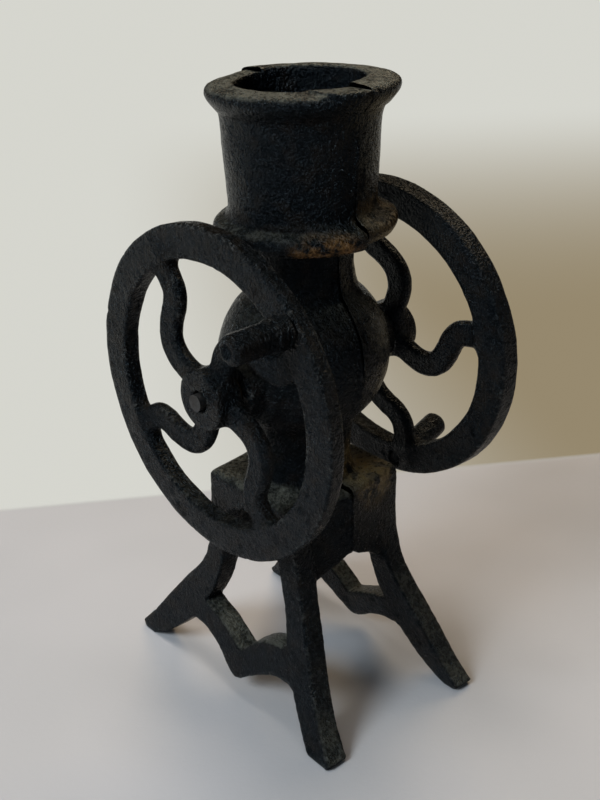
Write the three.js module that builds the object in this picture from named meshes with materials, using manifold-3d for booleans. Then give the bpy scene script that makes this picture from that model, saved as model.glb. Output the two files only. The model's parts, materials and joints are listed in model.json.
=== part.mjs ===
// Miniature double-flywheel coffee mill in cast iron.
// Millimetres, +Z up, origin at the bottom centre. X runs along the shaft,
// -Y is the front. Two half castings meet on the plane X = 0.
import * as THREE from 'three';
import { mergeVertices } from 'three/addons/utils/BufferGeometryUtils.js';
import Module from 'manifold-3d';

const wasm = await Module();
wasm.setup();

// ---------------------------------------------------------------- dimensions
const SEG = 40;               // facets round the large turned shapes
const SEG_SMALL = 16;         // facets round pins and screws
const GAP = 0.3;              // clear gap between neighbouring pieces
const SEAM = 0.15;            // half of the gap on the parting plane

const HALF_STEP = 0.8;        // the right half casting sits this much higher
const HOPPER_TILT = 1.55;     // degrees, right side of the hopper leans up
const TILT_PIVOT_Z = 80;
const HOPPER_OVAL = 1.035;    // the right half of the hopper bulges a little

const BLOCK_X = 13.3;         // half width of the block at its outer faces
const BLOCK_Y_OUT = 11.0;     // half depth at the outer faces
const BLOCK_Y_SEAM = 13.2;    // half depth at the parting plane (draft)
const BLOCK_TOP = { left: 42.5, right: 43.0 };
const BLOCK_LOW = 24;
const BLOCK_WALL = 2.6;
const RIVET_Y = 6.2;          // tie rivets through the lugs inside the block
const ARCH_PEAK = 30.3;       // underside of the front wall on the parting plane

const FOOT_X = 18.6;          // outer face of the leg frame on the ground
const FLARE_TOP = 36;         // height where the legs start to flare in X
const FLARE_POWER = 1.6;
const BRACE_SAG = [0.4, 1.0];  // the braces hang this much lower, left and right
const SHORT_REACH = 0.07;     // the right front foot swings out this much less
const LEG_T = 4.3;            // leg frame thickness along X

const BALL_Z = 65.3;
const BALL_R = 15.1;
const CHAMBER_R = 12.3;
const NECK_R = 8.6;

const HOPPER_IN_R = 10.4;
const THROAT_R = 3.3;
const THROAT_X = -3.9;
const DROP_X = [2.6, 6.8];    // drop slot through the lower neck
const DROP_Y = 3.0;

const AXLE_Z = 64.0;
const AXLE_Y = -0.5;
const AXLE_YAW = 2.2;         // the bores are slightly crooked, degrees
const AXLE_RISE = 1.5;
const SHAFT_R = 1.45;
const SHAFT_END = 24.8;       // half length of the shaft
const BOSS_END = 17.6;
const BUSH_R = 2.9;

const WHEEL_R = 29.0;
const WHEEL_IN = 23.2;
const WHEEL_FACE = 22.2;      // outer face of the rim, distance from the parting plane
const RIM_T = 3.2;
const RIM_DRAFT = 0.25;
const RIM_OUT = { left: 0, right: 0.7 };  // the right rim is that much thicker outwards
const HUB_R = 5.3;
const HUB_FACE = 23.9;
const HUB_BACK = 18.9;
const SPOKE_W = 4.7;
const RIGHT_WHEEL_LEAN = 2.2; // the right wheel sits crooked on its shaft
const PEG_ORBIT = 26.1;
const PEG_LEN = { left: 11.1, right: 10.4 };
const PEG_LEAN = { left: 0, right: 17 };  // degrees, the right peg leans towards +Z
const PEG_R = [2.6, 2.3];
const PEG_SHANK_R = 1.2;

const WEB = [SEAM, 3.6];      // web in the right half that carries the burr ring
const RING_R = 7.0;
const RING_FLANGE_R = 9.4;
const RING_X = [0.5, 7.0];

const rad = THREE.MathUtils.degToRad;

// ---------------------------------------------------------------- materials
const look = {
  iron: { color: 0x1c1e20, roughness: 0.6, metalness: 0.45 },
  steel: { color: 0x6b6c6e, roughness: 0.45, metalness: 0.9 },
  bronze: { color: 0x8a6a3a, roughness: 0.45, metalness: 0.85 },
};

// ---------------------------------------------------------------- solids
function solid(geometry) {
  const g = geometry.clone();
  g.deleteAttribute('normal');
  g.deleteAttribute('uv');
  const m = mergeVertices(g, 1e-4);
  const idx = Array.from(m.index.array);
  const tri = [];
  for (let i = 0; i < idx.length; i += 3) {
    const [a, b, c] = [idx[i], idx[i + 1], idx[i + 2]];
    if (a !== b && b !== c && c !== a) tri.push(a, b, c);
  }
  const mesh = new wasm.Mesh({
    numProp: 3,
    vertProperties: new Float32Array(m.attributes.position.array),
    triVerts: new Uint32Array(tri),
  });
  mesh.merge();
  return new wasm.Manifold(mesh);
}
function toGeometry(man) {
  const mesh = man.getMesh();
  const g = new THREE.BufferGeometry();
  const pos = [];
  for (let i = 0; i < mesh.vertProperties.length; i += mesh.numProp) {
    pos.push(mesh.vertProperties[i], mesh.vertProperties[i + 1], mesh.vertProperties[i + 2]);
  }
  g.setAttribute('position', new THREE.Float32BufferAttribute(pos, 3));
  g.setIndex(Array.from(mesh.triVerts));
  g.computeVertexNormals();
  return g;
}
const V2 = (a) => a.map(([x, y]) => new THREE.Vector2(x, y));

// lathe about +Z from [radius, height] points that start and end on the axis
function turned(profile, seg = SEG) {
  const g = new THREE.LatheGeometry(V2(profile), seg);
  g.rotateX(Math.PI / 2);
  return g;
}
// the same, with the axis laid along +X (height becomes x)
function turnedX(profile, seg = SEG) {
  const g = turned(profile, seg);
  g.rotateY(Math.PI / 2);
  return g;
}
const rodX = (r, x0, x1, seg = SEG_SMALL) => turnedX([[0, x0], [r, x0], [r, x1], [0, x1]], seg);
const rodZ = (r, z0, z1, seg = SEG_SMALL) => turned([[0, z0], [r, z0], [r, z1], [0, z1]], seg);
function box(x0, x1, y0, y1, z0, z1) {
  const g = new THREE.BoxGeometry(x1 - x0, y1 - y0, z1 - z0);
  g.translate((x0 + x1) / 2, (y0 + y1) / 2, (z0 + z1) / 2);
  return g;
}
const moved = (g, x, y, z) => g.clone().translate(x, y, z);
const axleMatrix = new THREE.Matrix4()
  .makeTranslation(0, AXLE_Y, AXLE_Z)
  .multiply(new THREE.Matrix4().makeRotationZ(rad(AXLE_YAW)))
  .multiply(new THREE.Matrix4().makeRotationY(-rad(AXLE_RISE)));
const onAxle = (g) => g.clone().applyMatrix4(axleMatrix);
// drawn with a soft curve through the given points
function smooth(points, n) {
  const c = new THREE.CatmullRomCurve3(points.map(([x, y]) => new THREE.Vector3(x, y, 0)));
  return c.getPoints(n).map((p) => [p.x, p.y]);
}

// ---------------------------------------------------------------- leg frame
// The opening between the two legs of one side, above the brace.
function windowOutline() {
  return [...smooth([[-11, 14.8], [-9.6, 17], [-8.2, 20.5], [-7.4, 24.3], [-7.1, 28],
    [-6.8, 32], [-5.5, 35.5], [-3, 37.4], [0, 38], [3, 37.4], [6, 35.3], [8.2, 32], [9.2, 29],
    [10.3, 25.3], [11.4, 21.4], [12.4, 17.4]], 22),
    ...smooth([[11.6, 16.2], [9, 15.8], [6.6, 15], [4, 13.4], [2, 11.6], [0.7, 10.3]], 5),
    ...smooth([[-1, 11], [-3, 12], [-6, 13.3], [-9, 14.1]], 4)];
}
// Outline of one side in (u, z): u is +front on the left half. One leg is
// straighter, the other swings out; the right half is the same turned round.
function legFrameGeometry(side) {
  const straightOuter = smooth([[11, 41.5], [12.3, 37], [13.8, 31], [15.3, 25.5], [17.6, 19],
    [19.9, 13.5], [22.8, 7.7], [25.9, 3.0], [27.6, 1.0]], 12);
  const straightInner = smooth([[21.2, 0.6], [19.3, 3.3], [17.3, 6.6], [15.6, 9.7]], 4);
  const braceLow = [...smooth([[14.4, 10.3], [11, 10], [8, 8.7], [4, 6.2], [1.5, 4.3]], 6),
    [0.2, 3.9], ...smooth([[-1.3, 4.3], [-3.5, 5.8], [-6, 7.7], [-9.5, 9.3], [-13.4, 9.9]], 6)];
  const flaredInner = smooth([[-14.8, 9.3], [-17, 7], [-20, 4], [-23.5, 1.3], [-25.3, 0.3]], 6);
  const flaredOuter = smooth([[-30.1, 1.1], [-26.6, 5.4], [-22.9, 10.7], [-18.2, 16.5],
    [-14.8, 20.2], [-12.8, 23.5], [-11.8, 27.5], [-11.2, 33], [-11, 41.5]], 12);
  const outline = [...straightOuter, [27.0, 0], [22.0, 0], ...straightInner, ...braceLow,
    ...flaredInner, [-26, 0], [-29, 0], ...flaredOuter];
  const shape = new THREE.Shape(V2(outline));
  shape.holes.push(new THREE.Path(V2(windowOutline().reverse())));
  const g = new THREE.ExtrudeGeometry(shape, { depth: LEG_T, bevelEnabled: false, steps: 1 });
  const p = g.attributes.position;
  for (let i = 0; i < p.count; i += 1) {
    let [u, z] = [p.getX(i), p.getY(i)];
    const d = p.getZ(i);
    const low = Math.min(1, Math.max(0, (z - 1) / 19));
    z -= BRACE_SAG[side < 0 ? 0 : 1] * Math.sin(Math.PI * low);
    if (side > 0 && u < 0) u *= 1 - SHORT_REACH * Math.max(0, 1 - z / 22);
    const flare = Math.max(0, 1 - z / FLARE_TOP) ** FLARE_POWER;
    const outer = BLOCK_X + (FOOT_X - BLOCK_X) * flare;
    p.setXYZ(i, -outer + LEG_T - d, -u, z);
  }
  return g;
}

// ---------------------------------------------------------------- block
function blockSolid(side) {
  const plan = new THREE.Shape(V2([[-SEAM, -BLOCK_Y_SEAM], [-SEAM, BLOCK_Y_SEAM],
    [-BLOCK_X + 0.9, BLOCK_Y_OUT + 0.15], [-BLOCK_X, BLOCK_Y_OUT - 0.8],
    [-BLOCK_X, -BLOCK_Y_OUT + 0.8], [-BLOCK_X + 0.9, -BLOCK_Y_OUT - 0.15]]));
  const top = side < 0 ? BLOCK_TOP.left : BLOCK_TOP.right;
  const g = new THREE.ExtrudeGeometry(plan, { depth: top - BLOCK_LOW, bevelEnabled: false });
  g.translate(0, 0, BLOCK_LOW);
  const arch = new THREE.Shape(V2([[-9.1, 10], [9.1, 10], [9.1, 24.6], [7.6, 26.2], [5.4, 27.4],
    [2.6, 28.5], [0, ARCH_PEAK], [-2.6, 28.5], [-5.4, 27.4], [-7.6, 26.2], [-9.1, 24.6]]));
  const archCut = new THREE.ExtrudeGeometry(arch, { depth: 40, bevelEnabled: false });
  archCut.rotateX(Math.PI / 2);
  archCut.translate(0, 20, 0);
  if (side > 0) g.rotateZ(Math.PI);
  const sideCut = new THREE.ExtrudeGeometry(new THREE.Shape(V2(windowOutline())),
    { depth: 30, bevelEnabled: false });
  sideCut.applyMatrix4(new THREE.Matrix4().makeBasis(new THREE.Vector3(0, -1, 0),
    new THREE.Vector3(0, 0, 1), new THREE.Vector3(-1, 0, 0)));
  sideCut.translate(-6, 0, 0);
  if (side > 0) sideCut.rotateZ(Math.PI);
  return solid(g).subtract(solid(archCut)).subtract(solid(sideCut));
}

// ---------------------------------------------------------------- turned body
function bodyProfile() {
  const pts = [[0, 40.2], [9.4, 40.2], [9.4, 42.3], [8.9, 43.6], [8.5, 46], [8.6, 49.6],
    [8.95, 51.6]];
  for (let i = 0; i <= 14; i += 1) {
    const t = rad(-51 + (i * 102) / 14);
    pts.push([BALL_R * Math.cos(t), BALL_Z + BALL_R * Math.sin(t)]);
  }
  pts.push([8.95, 78.8], [NECK_R, 81], [NECK_R, 87.6], [0, 87.6]);
  return pts;
}
const hopperProfile = [[0, 86], [NECK_R, 86], [13.4, 86.5], [15.1, 87.2], [15.7, 88.5],
  [15.2, 89.8], [13.3, 90.6], [12.35, 91.7], [12.25, 93], [12.6, 99.5], [12.93, 106.1],
  [13.5, 107.1], [14.5, 107.9], [15.1, 109], [15.14, 110.2], [14.6, 111.3], [13.5, 111.9],
  [12, 111.8], [10.9, 111.3], [10.5, 110.2], [HOPPER_IN_R, 105], [10.2, 97], [9.9, 94.6],
  [7.2, 91.6], [0, 90.4]];
// the lip of the right half flares wider, the flange of the left half is narrower
const LIP_FLARE = 1.05;
const FLANGE_SHORT = 0.95;
function hopperOutline(side) {
  return hopperProfile.map(([r, z]) => {
    if (side > 0 && z > 107 && r > 11.5) return [r * LIP_FLARE, z];
    if (side < 0 && z > 86.2 && z < 90 && r > 13) return [r * FLANGE_SHORT, z];
    return [r, z];
  });
}
function tilted(g) {
  g.translate(0, 0, -TILT_PIVOT_Z);
  g.rotateY(-rad(HOPPER_TILT));
  g.translate(0, 0, TILT_PIVOT_Z);
  return g;
}

// ---------------------------------------------------------------- castings
function casting(side) {
  const dz = side > 0 ? HALF_STEP : 0;
  const legs = legFrameGeometry(side);
  if (side > 0) legs.rotateZ(Math.PI);
  let s = solid(moved(turned(bodyProfile()), 0, 0, dz));
  const cup = turned(hopperOutline(side));
  if (side > 0) cup.scale(HOPPER_OVAL, 1, 1);
  s = s.add(solid(moved(tilted(cup), 0, 0, dz)));
  const boss = turnedX([[0, 9], [8.2, 9], [7.4, 13.4], [6.0, 14.6], [5.5, BOSS_END - 0.4],
    [5.1, BOSS_END], [0, BOSS_END]], 28);
  if (side < 0) boss.rotateZ(Math.PI);
  s = s.add(solid(onAxle(boss)));
  const keep = side < 0 ? box(-30, -SEAM, -40, 40, 0, 130) : box(SEAM, 30, -40, 40, 0, 130);
  s = s.intersect(solid(keep));
  s = s.add(blockSolid(side)).add(solid(legs));

  // hollow block, open below, with one rivet lug each side of the parting plane
  const inner = BLOCK_X - BLOCK_WALL;
  const ceiling = (side < 0 ? BLOCK_TOP.left : BLOCK_TOP.right) - BLOCK_WALL;
  const hollow = box(-inner, inner, -8.6, 8.6, 12, ceiling);
  s = s.subtract(solid(hollow).subtract(solid(legs)));
  const lugX = side < 0 ? [-3.0, -SEAM] : [SEAM, 3.0];
  for (const dir of [-1, 1]) {
    const yy = [dir * (RIVET_Y - 2.2), dir * 9.4].sort((a, b) => a - b);
    s = s.add(solid(box(lugX[0], lugX[1], yy[0], yy[1], 33, ceiling + 1)));
    s = s.subtract(solid(moved(rodX(1.3, -8, 8), 0, dir * RIVET_Y, 36)));
  }

  // grinding chamber; the right half keeps a web for the burr ring
  const ball = solid(moved(new THREE.SphereGeometry(CHAMBER_R, 32, 20), 0, 0, BALL_Z));
  if (side < 0) {
    s = s.subtract(ball.intersect(solid(box(-20, 1, -20, 20, 40, 90))));
    s = s.subtract(solid(moved(rodZ(THROAT_R, 72, 95, 20), THROAT_X, 0, 0)));
  } else {
    s = s.subtract(ball.intersect(solid(box(WEB[1], 20, -20, 20, 40, 90))));
    s = s.subtract(solid(onAxle(rodX(RING_R + GAP, -2, WEB[1] + 2, 32))));
    s = s.subtract(solid(onAxle(rodX(RING_FLANGE_R + GAP, -2, 2.2, 32))));
    s = s.subtract(solid(box(DROP_X[0], DROP_X[1], -DROP_Y, DROP_Y, 36, 55.5)));
    for (const p of ringScrewSeats()) {
      s = s.subtract(solid(onAxle(moved(rodX(0.8, 1, 5, 12), 0, p[0], p[1]))));
    }
  }
  // shaft bore for the bushing, and blind holes for the dowels
  const bore = side < 0 ? [-30, -8] : [8, 30];
  s = s.subtract(solid(onAxle(rodX(BUSH_R + GAP, bore[0], bore[1], 24))));
  for (const y of [-13.75, 13.75]) {
    s = s.subtract(solid(moved(rodX(0.65, -3, 3, 12), 0, y, BALL_Z)));
  }
  // a crumb can be left where the window cut meets the leg frame: keep the casting only
  return s.decompose().reduce((a, b) => (b.volume() > a.volume() ? b : a));
}
function ringScrewSeats() {
  return [90, 210, 330].map((a) => [8.35 * Math.cos(rad(a)), 8.35 * Math.sin(rad(a))]);
}

// ---------------------------------------------------------------- flywheels
// One S-shaped spoke given as [radius, degrees swung] along its middle line.
const spokeLine = [[3.2, 0], [8, 0], [10.5, 3], [12.6, 9], [14.1, 17], [15.4, 26], [16.5, 33],
  [18.3, 37.5], [20.5, 38], [24.6, 37]];
function spokeShape(start) {
  const mid = new THREE.CatmullRomCurve3(spokeLine.map(([r, a]) => {
    const t = rad(start - a);
    return new THREE.Vector3(r * Math.cos(t), r * Math.sin(t), 0);
  }));
  const n = 13;
  const left = [];
  const right = [];
  for (let i = 0; i <= n; i += 1) {
    const p = mid.getPoint(i / n);
    const t = mid.getTangent(i / n);
    left.push([p.x - (t.y * SPOKE_W) / 2, p.y + (t.x * SPOKE_W) / 2]);
    right.push([p.x + (t.y * SPOKE_W) / 2, p.y - (t.x * SPOKE_W) / 2]);
  }
  return new THREE.Shape(V2([...right, ...left.reverse()]));
}
// Drawn in the plane (u, v) with the outer face towards +Z, then turned so
// that the outer face looks along side * X and v points up.
function wheelSolid(side, firstSpoke, pegAngle) {
  const out = side < 0 ? RIM_OUT.left : RIM_OUT.right;
  const rim = turned([[WHEEL_IN - RIM_DRAFT, -RIM_T], [WHEEL_R - RIM_DRAFT, -RIM_T],
    [WHEEL_R, out], [WHEEL_IN, out], [WHEEL_IN - RIM_DRAFT, -RIM_T]], 64);
  let s = solid(rim);
  s = s.add(solid(turned([[0, HUB_BACK - WHEEL_FACE], [HUB_R - 0.4, HUB_BACK - WHEEL_FACE],
    [HUB_R, 0], [HUB_R - 0.2, HUB_FACE - WHEEL_FACE], [0, HUB_FACE - WHEEL_FACE]], 28)));
  for (let k = 0; k < 4; k += 1) {
    const g = new THREE.ExtrudeGeometry(spokeShape(firstSpoke + 90 * k),
      { depth: 2.5, bevelEnabled: false });
    s = s.add(solid(moved(g, 0, 0, -RIM_T + 0.2)));
  }
  const px = PEG_ORBIT * Math.cos(rad(pegAngle));
  const py = PEG_ORBIT * Math.sin(rad(pegAngle));
  s = s.subtract(solid(moved(rodZ(PEG_SHANK_R + GAP, -RIM_T - 1, 1), px, py, 0)));
  return placeWheel(s, side);
}
function wheelMatrix(side) {
  const m = new THREE.Matrix4();
  if (side < 0) m.makeBasis(new THREE.Vector3(0, -1, 0), new THREE.Vector3(0, 0, 1),
    new THREE.Vector3(-1, 0, 0));
  else m.makeBasis(new THREE.Vector3(0, 1, 0), new THREE.Vector3(0, 0, 1),
    new THREE.Vector3(1, 0, 0));
  m.premultiply(new THREE.Matrix4().makeTranslation(side * WHEEL_FACE, 0, 0));
  if (side > 0) {
    const lean = new THREE.Matrix4().makeTranslation(20.7, 0, 0)
      .multiply(new THREE.Matrix4().makeRotationY(-rad(RIGHT_WHEEL_LEAN)))
      .multiply(new THREE.Matrix4().makeTranslation(-20.7, 0, 0));
    m.premultiply(lean);
  }
  return m;
}
function placeWheel(s, side) {
  const g = toGeometry(s).applyMatrix4(wheelMatrix(side));
  let w = solid(g);
  w = w.subtract(solid(rodX(SHAFT_R + GAP, -30, 30)));
  w = w.subtract(solid(hubPinGeometry(side, 0.9, -4.7, 2.6)));
  return w;
}
// cross pin through hub and shaft, entering from below
function hubPinGeometry(side, r, z0, z1) {
  const g = rodZ(r, z0, z1, 12);
  g.rotateX(rad(35));
  return moved(g, side * 20.6, 0, 0);
}
function pegSolid(side, pegAngle) {
  const [r0, r1] = PEG_R;
  const len = side < 0 ? PEG_LEN.left : PEG_LEN.right;
  const body = turned([[0, 0], [r0, 0], [r0 - 0.15, 2], [r1 + 0.1, len - 1.6],
    [r1 - 0.25, len - 0.5], [r1 - 0.9, len], [0, len + 0.1]], 20);
  const lean = side < 0 ? PEG_LEAN.left : PEG_LEAN.right;
  body.rotateX(-rad(lean));
  const root = turned([[0, -1], [r0, -1], [r0, 3], [0, 3]], 20);
  const out = side < 0 ? RIM_OUT.left : RIM_OUT.right;
  let s = solid(body).add(solid(root)).intersect(solid(box(-9, 9, -9, 9, GAP + out, 20)));
  s = s.add(solid(rodZ(PEG_SHANK_R, -RIM_T + 0.1, 1.6)));
  const g = toGeometry(s);
  g.translate(PEG_ORBIT * Math.cos(rad(pegAngle)), PEG_ORBIT * Math.sin(rad(pegAngle)), 0);
  return g.applyMatrix4(wheelMatrix(side));
}

// ---------------------------------------------------------------- grinding parts
function star(teeth, r0, r1) {
  const pts = [];
  for (let i = 0; i < teeth; i += 1) {
    const a = (2 * Math.PI * i) / teeth;
    const b = (2 * Math.PI * (i + 0.8)) / teeth;
    pts.push([r0 * Math.cos(a), r0 * Math.sin(a)], [r1 * Math.cos(b), r1 * Math.sin(b)]);
  }
  return new THREE.Shape(V2(pts));
}
// toothed cone along +X from x0 to x1, radius factor k0 to k1
function toothedCone(teeth, r0, r1, x0, x1, k0, k1) {
  const g = new THREE.ExtrudeGeometry(star(teeth, r0, r1), { depth: 1, bevelEnabled: false });
  const p = g.attributes.position;
  for (let i = 0; i < p.count; i += 1) {
    const t = p.getZ(i);
    const k = k0 + (k1 - k0) * t;
    const turn = 0.35 * t;
    const [x, y] = [p.getX(i) * k, p.getY(i) * k];
    p.setXYZ(i, x * Math.cos(turn) - y * Math.sin(turn), x * Math.sin(turn) + y * Math.cos(turn),
      x0 + (x1 - x0) * t);
  }
  g.rotateY(Math.PI / 2);
  return g;
}
function burrRing() {
  let s = solid(turnedX([[0, RING_X[0]], [RING_FLANGE_R, RING_X[0]], [RING_FLANGE_R, 1.9],
    [RING_R, 1.9], [RING_R, RING_X[1]], [0, RING_X[1]]], 32));
  s = s.subtract(solid(toothedCone(14, 6.0, 6.5, RING_X[0] - 0.5, RING_X[1] + 0.5, 1, 0.86)));
  for (const p of ringScrewSeats()) {
    s = s.subtract(solid(moved(rodX(0.8, -1, 3, 12), 0, p[0], p[1])));
  }
  return s;
}
function burrCone() {
  return solid(toothedCone(10, 3.6, 4.3, RING_X[0] + 0.6, RING_X[1] - 0.2, 0.82, 1.04))
    .subtract(solid(rodX(SHAFT_R + GAP, -5, 15)))
    .subtract(solid(moved(rodZ(0.75, -2.9, 2.9, 12), 4.4, 0, 0)));
}
function worm() {
  class Helix extends THREE.Curve {
    getPoint(t, target = new THREE.Vector3()) {
      const a = 2 * Math.PI * 2.25 * t;
      return target.set(-9.2 + 8.0 * t, 3.3 * Math.cos(a), 3.3 * Math.sin(a));
    }
  }
  const fin = new THREE.Shape(V2([[-1.5, -0.5], [1.5, -0.35], [1.5, 0.35], [-1.5, 0.5]]));
  const g = new THREE.ExtrudeGeometry(fin, { extrudePath: new Helix(), steps: 40,
    bevelEnabled: false });
  const body = solid(rodX(2.7, -10.4, -0.5, 20)).add(solid(g));
  return body.subtract(solid(rodX(SHAFT_R + GAP, -15, 5)))
    .subtract(solid(moved(rodZ(0.75, -2.4, 2.4, 12), -9.9, 0, 0)))
    .intersect(solid(box(-11, -0.4, -6, 6, -6, 6)));
}

// ---------------------------------------------------------------- assembly
const group = new THREE.Group();
group.name = 'double_flywheel_mill';
const rotor = new THREE.Group();
rotor.name = 'rotor_group';
rotor.applyMatrix4(axleMatrix);
group.add(rotor);

function put(parent, name, shape, kind) {
  const g = shape instanceof wasm.Manifold ? toGeometry(shape) : shape;
  const mesh = new THREE.Mesh(g, new THREE.MeshStandardMaterial(look[kind]));
  mesh.name = name;
  parent.add(mesh);
}
const LEFT_SPOKE = -22.5;
const LEFT_PEG = 41.3;
const RIGHT_SPOKE = 205;      // the right pattern is the left one seen from the other side
const RIGHT_PEG = -97.5;

put(group, 'left_casting', casting(-1), 'iron');
put(group, 'right_casting', casting(1), 'iron');
put(rotor, 'left_flywheel', wheelSolid(-1, LEFT_SPOKE, LEFT_PEG), 'iron');
put(rotor, 'right_flywheel', wheelSolid(1, RIGHT_SPOKE, RIGHT_PEG), 'iron');
put(rotor, 'left_handle', pegSolid(-1, LEFT_PEG), 'iron');
put(rotor, 'right_handle', pegSolid(1, RIGHT_PEG), 'iron');

let shaft = solid(rodX(SHAFT_R, -SHAFT_END, SHAFT_END, 20));
for (const side of [-1, 1]) shaft = shaft.subtract(solid(hubPinGeometry(side, 0.9, -6, 6)));
for (const x of [-9.9, 4.4]) shaft = shaft.subtract(solid(moved(rodZ(0.75, -3, 3, 12), x, 0, 0)));
put(rotor, 'drive_shaft', shaft, 'steel');
for (const [side, tag] of [[-1, 'left'], [1, 'right']]) {
  put(rotor, `${tag}_hub_pin`, hubPinGeometry(side, 0.6, -4.4, 2.3), 'steel');
  const span = (a, b) => (side < 0 ? [-b, -a] : [a, b]);
  const [b0, b1] = span(12.2, BOSS_END - 0.2);
  const bush = solid(rodX(BUSH_R, b0, b1, 24)).subtract(solid(rodX(SHAFT_R + GAP, -30, 30)));
  put(group, `${tag}_bushing`, toGeometry(bush).applyMatrix4(axleMatrix), 'bronze');
  const [w0, w1] = span(BOSS_END + 0.25, BOSS_END + 0.8);
  const washer = solid(rodX(3.6, w0, w1, 24)).subtract(solid(rodX(SHAFT_R + GAP, -30, 30)));
  put(rotor, `${tag}_thrust_washer`, washer, 'steel');
}
put(rotor, 'feed_worm', worm(), 'iron');
put(rotor, 'worm_pin', moved(rodZ(0.45, -2.2, 2.2, 12), -9.9, 0, 0), 'steel');
put(rotor, 'rotating_burr', burrCone(), 'steel');
put(rotor, 'burr_pin', moved(rodZ(0.45, -2.6, 2.6, 12), 4.4, 0, 0), 'steel');
put(group, 'fixed_burr_ring', toGeometry(burrRing()).applyMatrix4(axleMatrix), 'steel');
ringScrewSeats().forEach((p, i) => {
  const screw = moved(turnedX([[0, 0.2], [0.5, 0.2], [0.5, 3.4], [0, 3.4]], 12), 0, p[0], p[1]);
  put(group, `burr_ring_screw_${i + 1}`, onAxle(screw), 'steel');
});
for (const [y, tag] of [[-RIVET_Y, 'front'], [RIVET_Y, 'back']]) {
  const rivet = turnedX([[0, -4.6], [1.3, -4.4], [2.1, -3.9], [2.1, -3.3], [1.0, -3.3], [1.0, 3.3],
    [2.1, 3.3], [2.1, 3.9], [1.3, 4.4], [0, 4.6]], SEG_SMALL);
  put(group, `tie_rivet_${tag}`, moved(rivet, 0, y, 36), 'steel');
}
for (const [y, tag] of [[-13.75, 'front'], [13.75, 'back']]) {
  put(group, `locating_dowel_${tag}`, moved(rodX(0.4, -2.7, 2.7, 12), 0, y, BALL_Z), 'steel');
}

export default group;
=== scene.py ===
"""Looks of a small cast-iron double-flywheel coffee mill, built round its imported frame.

The castings, flywheels and crank handles are modelled as distance fields in
millimetres (soft unions give the cast fillets), skinned to quads, and given a
sand-cast relief. Everything else keeps its frame mesh and gets a material.
"""
import bpy
import json
import math
import numpy as np
from mathutils import Matrix, Vector


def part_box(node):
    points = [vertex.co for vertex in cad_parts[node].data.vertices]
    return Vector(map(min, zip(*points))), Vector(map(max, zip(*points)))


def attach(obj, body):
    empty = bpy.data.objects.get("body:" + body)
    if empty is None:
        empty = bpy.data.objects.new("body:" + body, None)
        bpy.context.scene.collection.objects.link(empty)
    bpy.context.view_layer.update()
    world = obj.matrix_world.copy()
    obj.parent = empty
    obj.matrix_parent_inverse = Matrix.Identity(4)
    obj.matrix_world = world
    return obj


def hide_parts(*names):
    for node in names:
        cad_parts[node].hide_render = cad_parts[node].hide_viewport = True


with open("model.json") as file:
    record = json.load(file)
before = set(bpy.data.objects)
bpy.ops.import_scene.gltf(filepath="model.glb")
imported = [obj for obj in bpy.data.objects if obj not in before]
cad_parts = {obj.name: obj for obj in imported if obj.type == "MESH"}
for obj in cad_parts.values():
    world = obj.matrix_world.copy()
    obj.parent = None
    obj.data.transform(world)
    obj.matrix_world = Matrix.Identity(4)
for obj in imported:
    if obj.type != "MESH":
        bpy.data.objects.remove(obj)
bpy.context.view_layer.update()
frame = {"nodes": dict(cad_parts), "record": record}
scene = bpy.context.scene
MM = 0.001

# ------------------------------------------------------------------ dimensions, mm
# Values in {-1: ..., 1: ...} belong to the left and to the right side of the mill.
SEAM, GAP = 0.15, 0.3               # half of the gap between the castings; other gaps
SEAM_SHOWN = 0.03                   # the same half gap in the castings as shown
HALF_STEP = 0.8                     # the right casting sits this much higher
HOPPER_TILT, TILT_Z, HOPPER_OVAL = 1.55, 80.0, 1.035
LIP_FLARE, FLANGE_SHORT = 1.05, 0.95
LIP_MEND_X, LIP_BACK_RISE = 7.0, 0.5    # where the left lip was built up to meet the right
LIP_LUMPS = ((-6.9, -13.0, 110.9, 0.75), (-6.2, -13.9, 110.2, 0.7), (-5.9, -13.2, 111.4, 0.55))
BLOCK_X, BLOCK_Y_OUT, BLOCK_Y_SEAM = 13.3, 11.0, 13.2
BLOCK_TOP = {-1: 42.5, 1: 43.0}
BLOCK_LOW, BLOCK_WALL, ARCH_PEAK, HOLLOW_Y = 24.0, 2.6, 30.3, 8.6
RIVET_Y, RIVET_Z, RIVET_BORE, RIVET_REACH = 6.2, 36.0, 1.3, 8.0
FOOT_X, FLARE_TOP, FLARE_POWER, LEG_T = 18.6, 36.0, 1.6, 4.3
BRACE_SAG = {-1: 0.4, 1: 1.0}       # the braces hang this much lower
SHORT_REACH = 0.07                  # the right front foot swings out this much less
BALL_Z, BALL_R, CHAMBER_R, NECK_R = 65.3, 15.1, 12.3, 8.6
THROAT_R, THROAT_X = 3.3, -3.9
DROP_X, DROP_Y, DROP_Z = (2.6, 6.8), 3.0, (36.0, 55.5)
WEB_X, RING_R, RING_FLANGE_R, RING_SEAT_X = 3.6, 7.0, 9.4, 2.2
SCREW_ORBIT, SCREW_ANGLES, SCREW_BORE = 8.35, (90, 210, 330), 0.8
DOWEL_Y, DOWEL_BORE, DOWEL_REACH = 13.75, 0.65, 3.0
AXLE_Y, AXLE_Z, AXLE_YAW, AXLE_RISE = -0.5, 64.0, 2.2, 1.5
SHAFT_R, BOSS_START, BOSS_END, BUSH_R, BUSH_START = 1.45, 9.0, 17.6, 2.9, 8.0
WHEEL_R, WHEEL_IN, WHEEL_FACE, RIM_T, RIM_DRAFT = 29.0, 23.2, 22.2, 3.2, 0.25
RIM_OUT = {-1: 0.0, 1: 0.7}         # the right rim is that much thicker outwards
HUB_R, HUB_FACE, HUB_BACK = 5.3, 23.9, 18.9
SPOKES, SPOKE_W, SPOKE_MIDDLE, SPOKE_HALF_T = 4, 4.7, -1.72, 1.28
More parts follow.
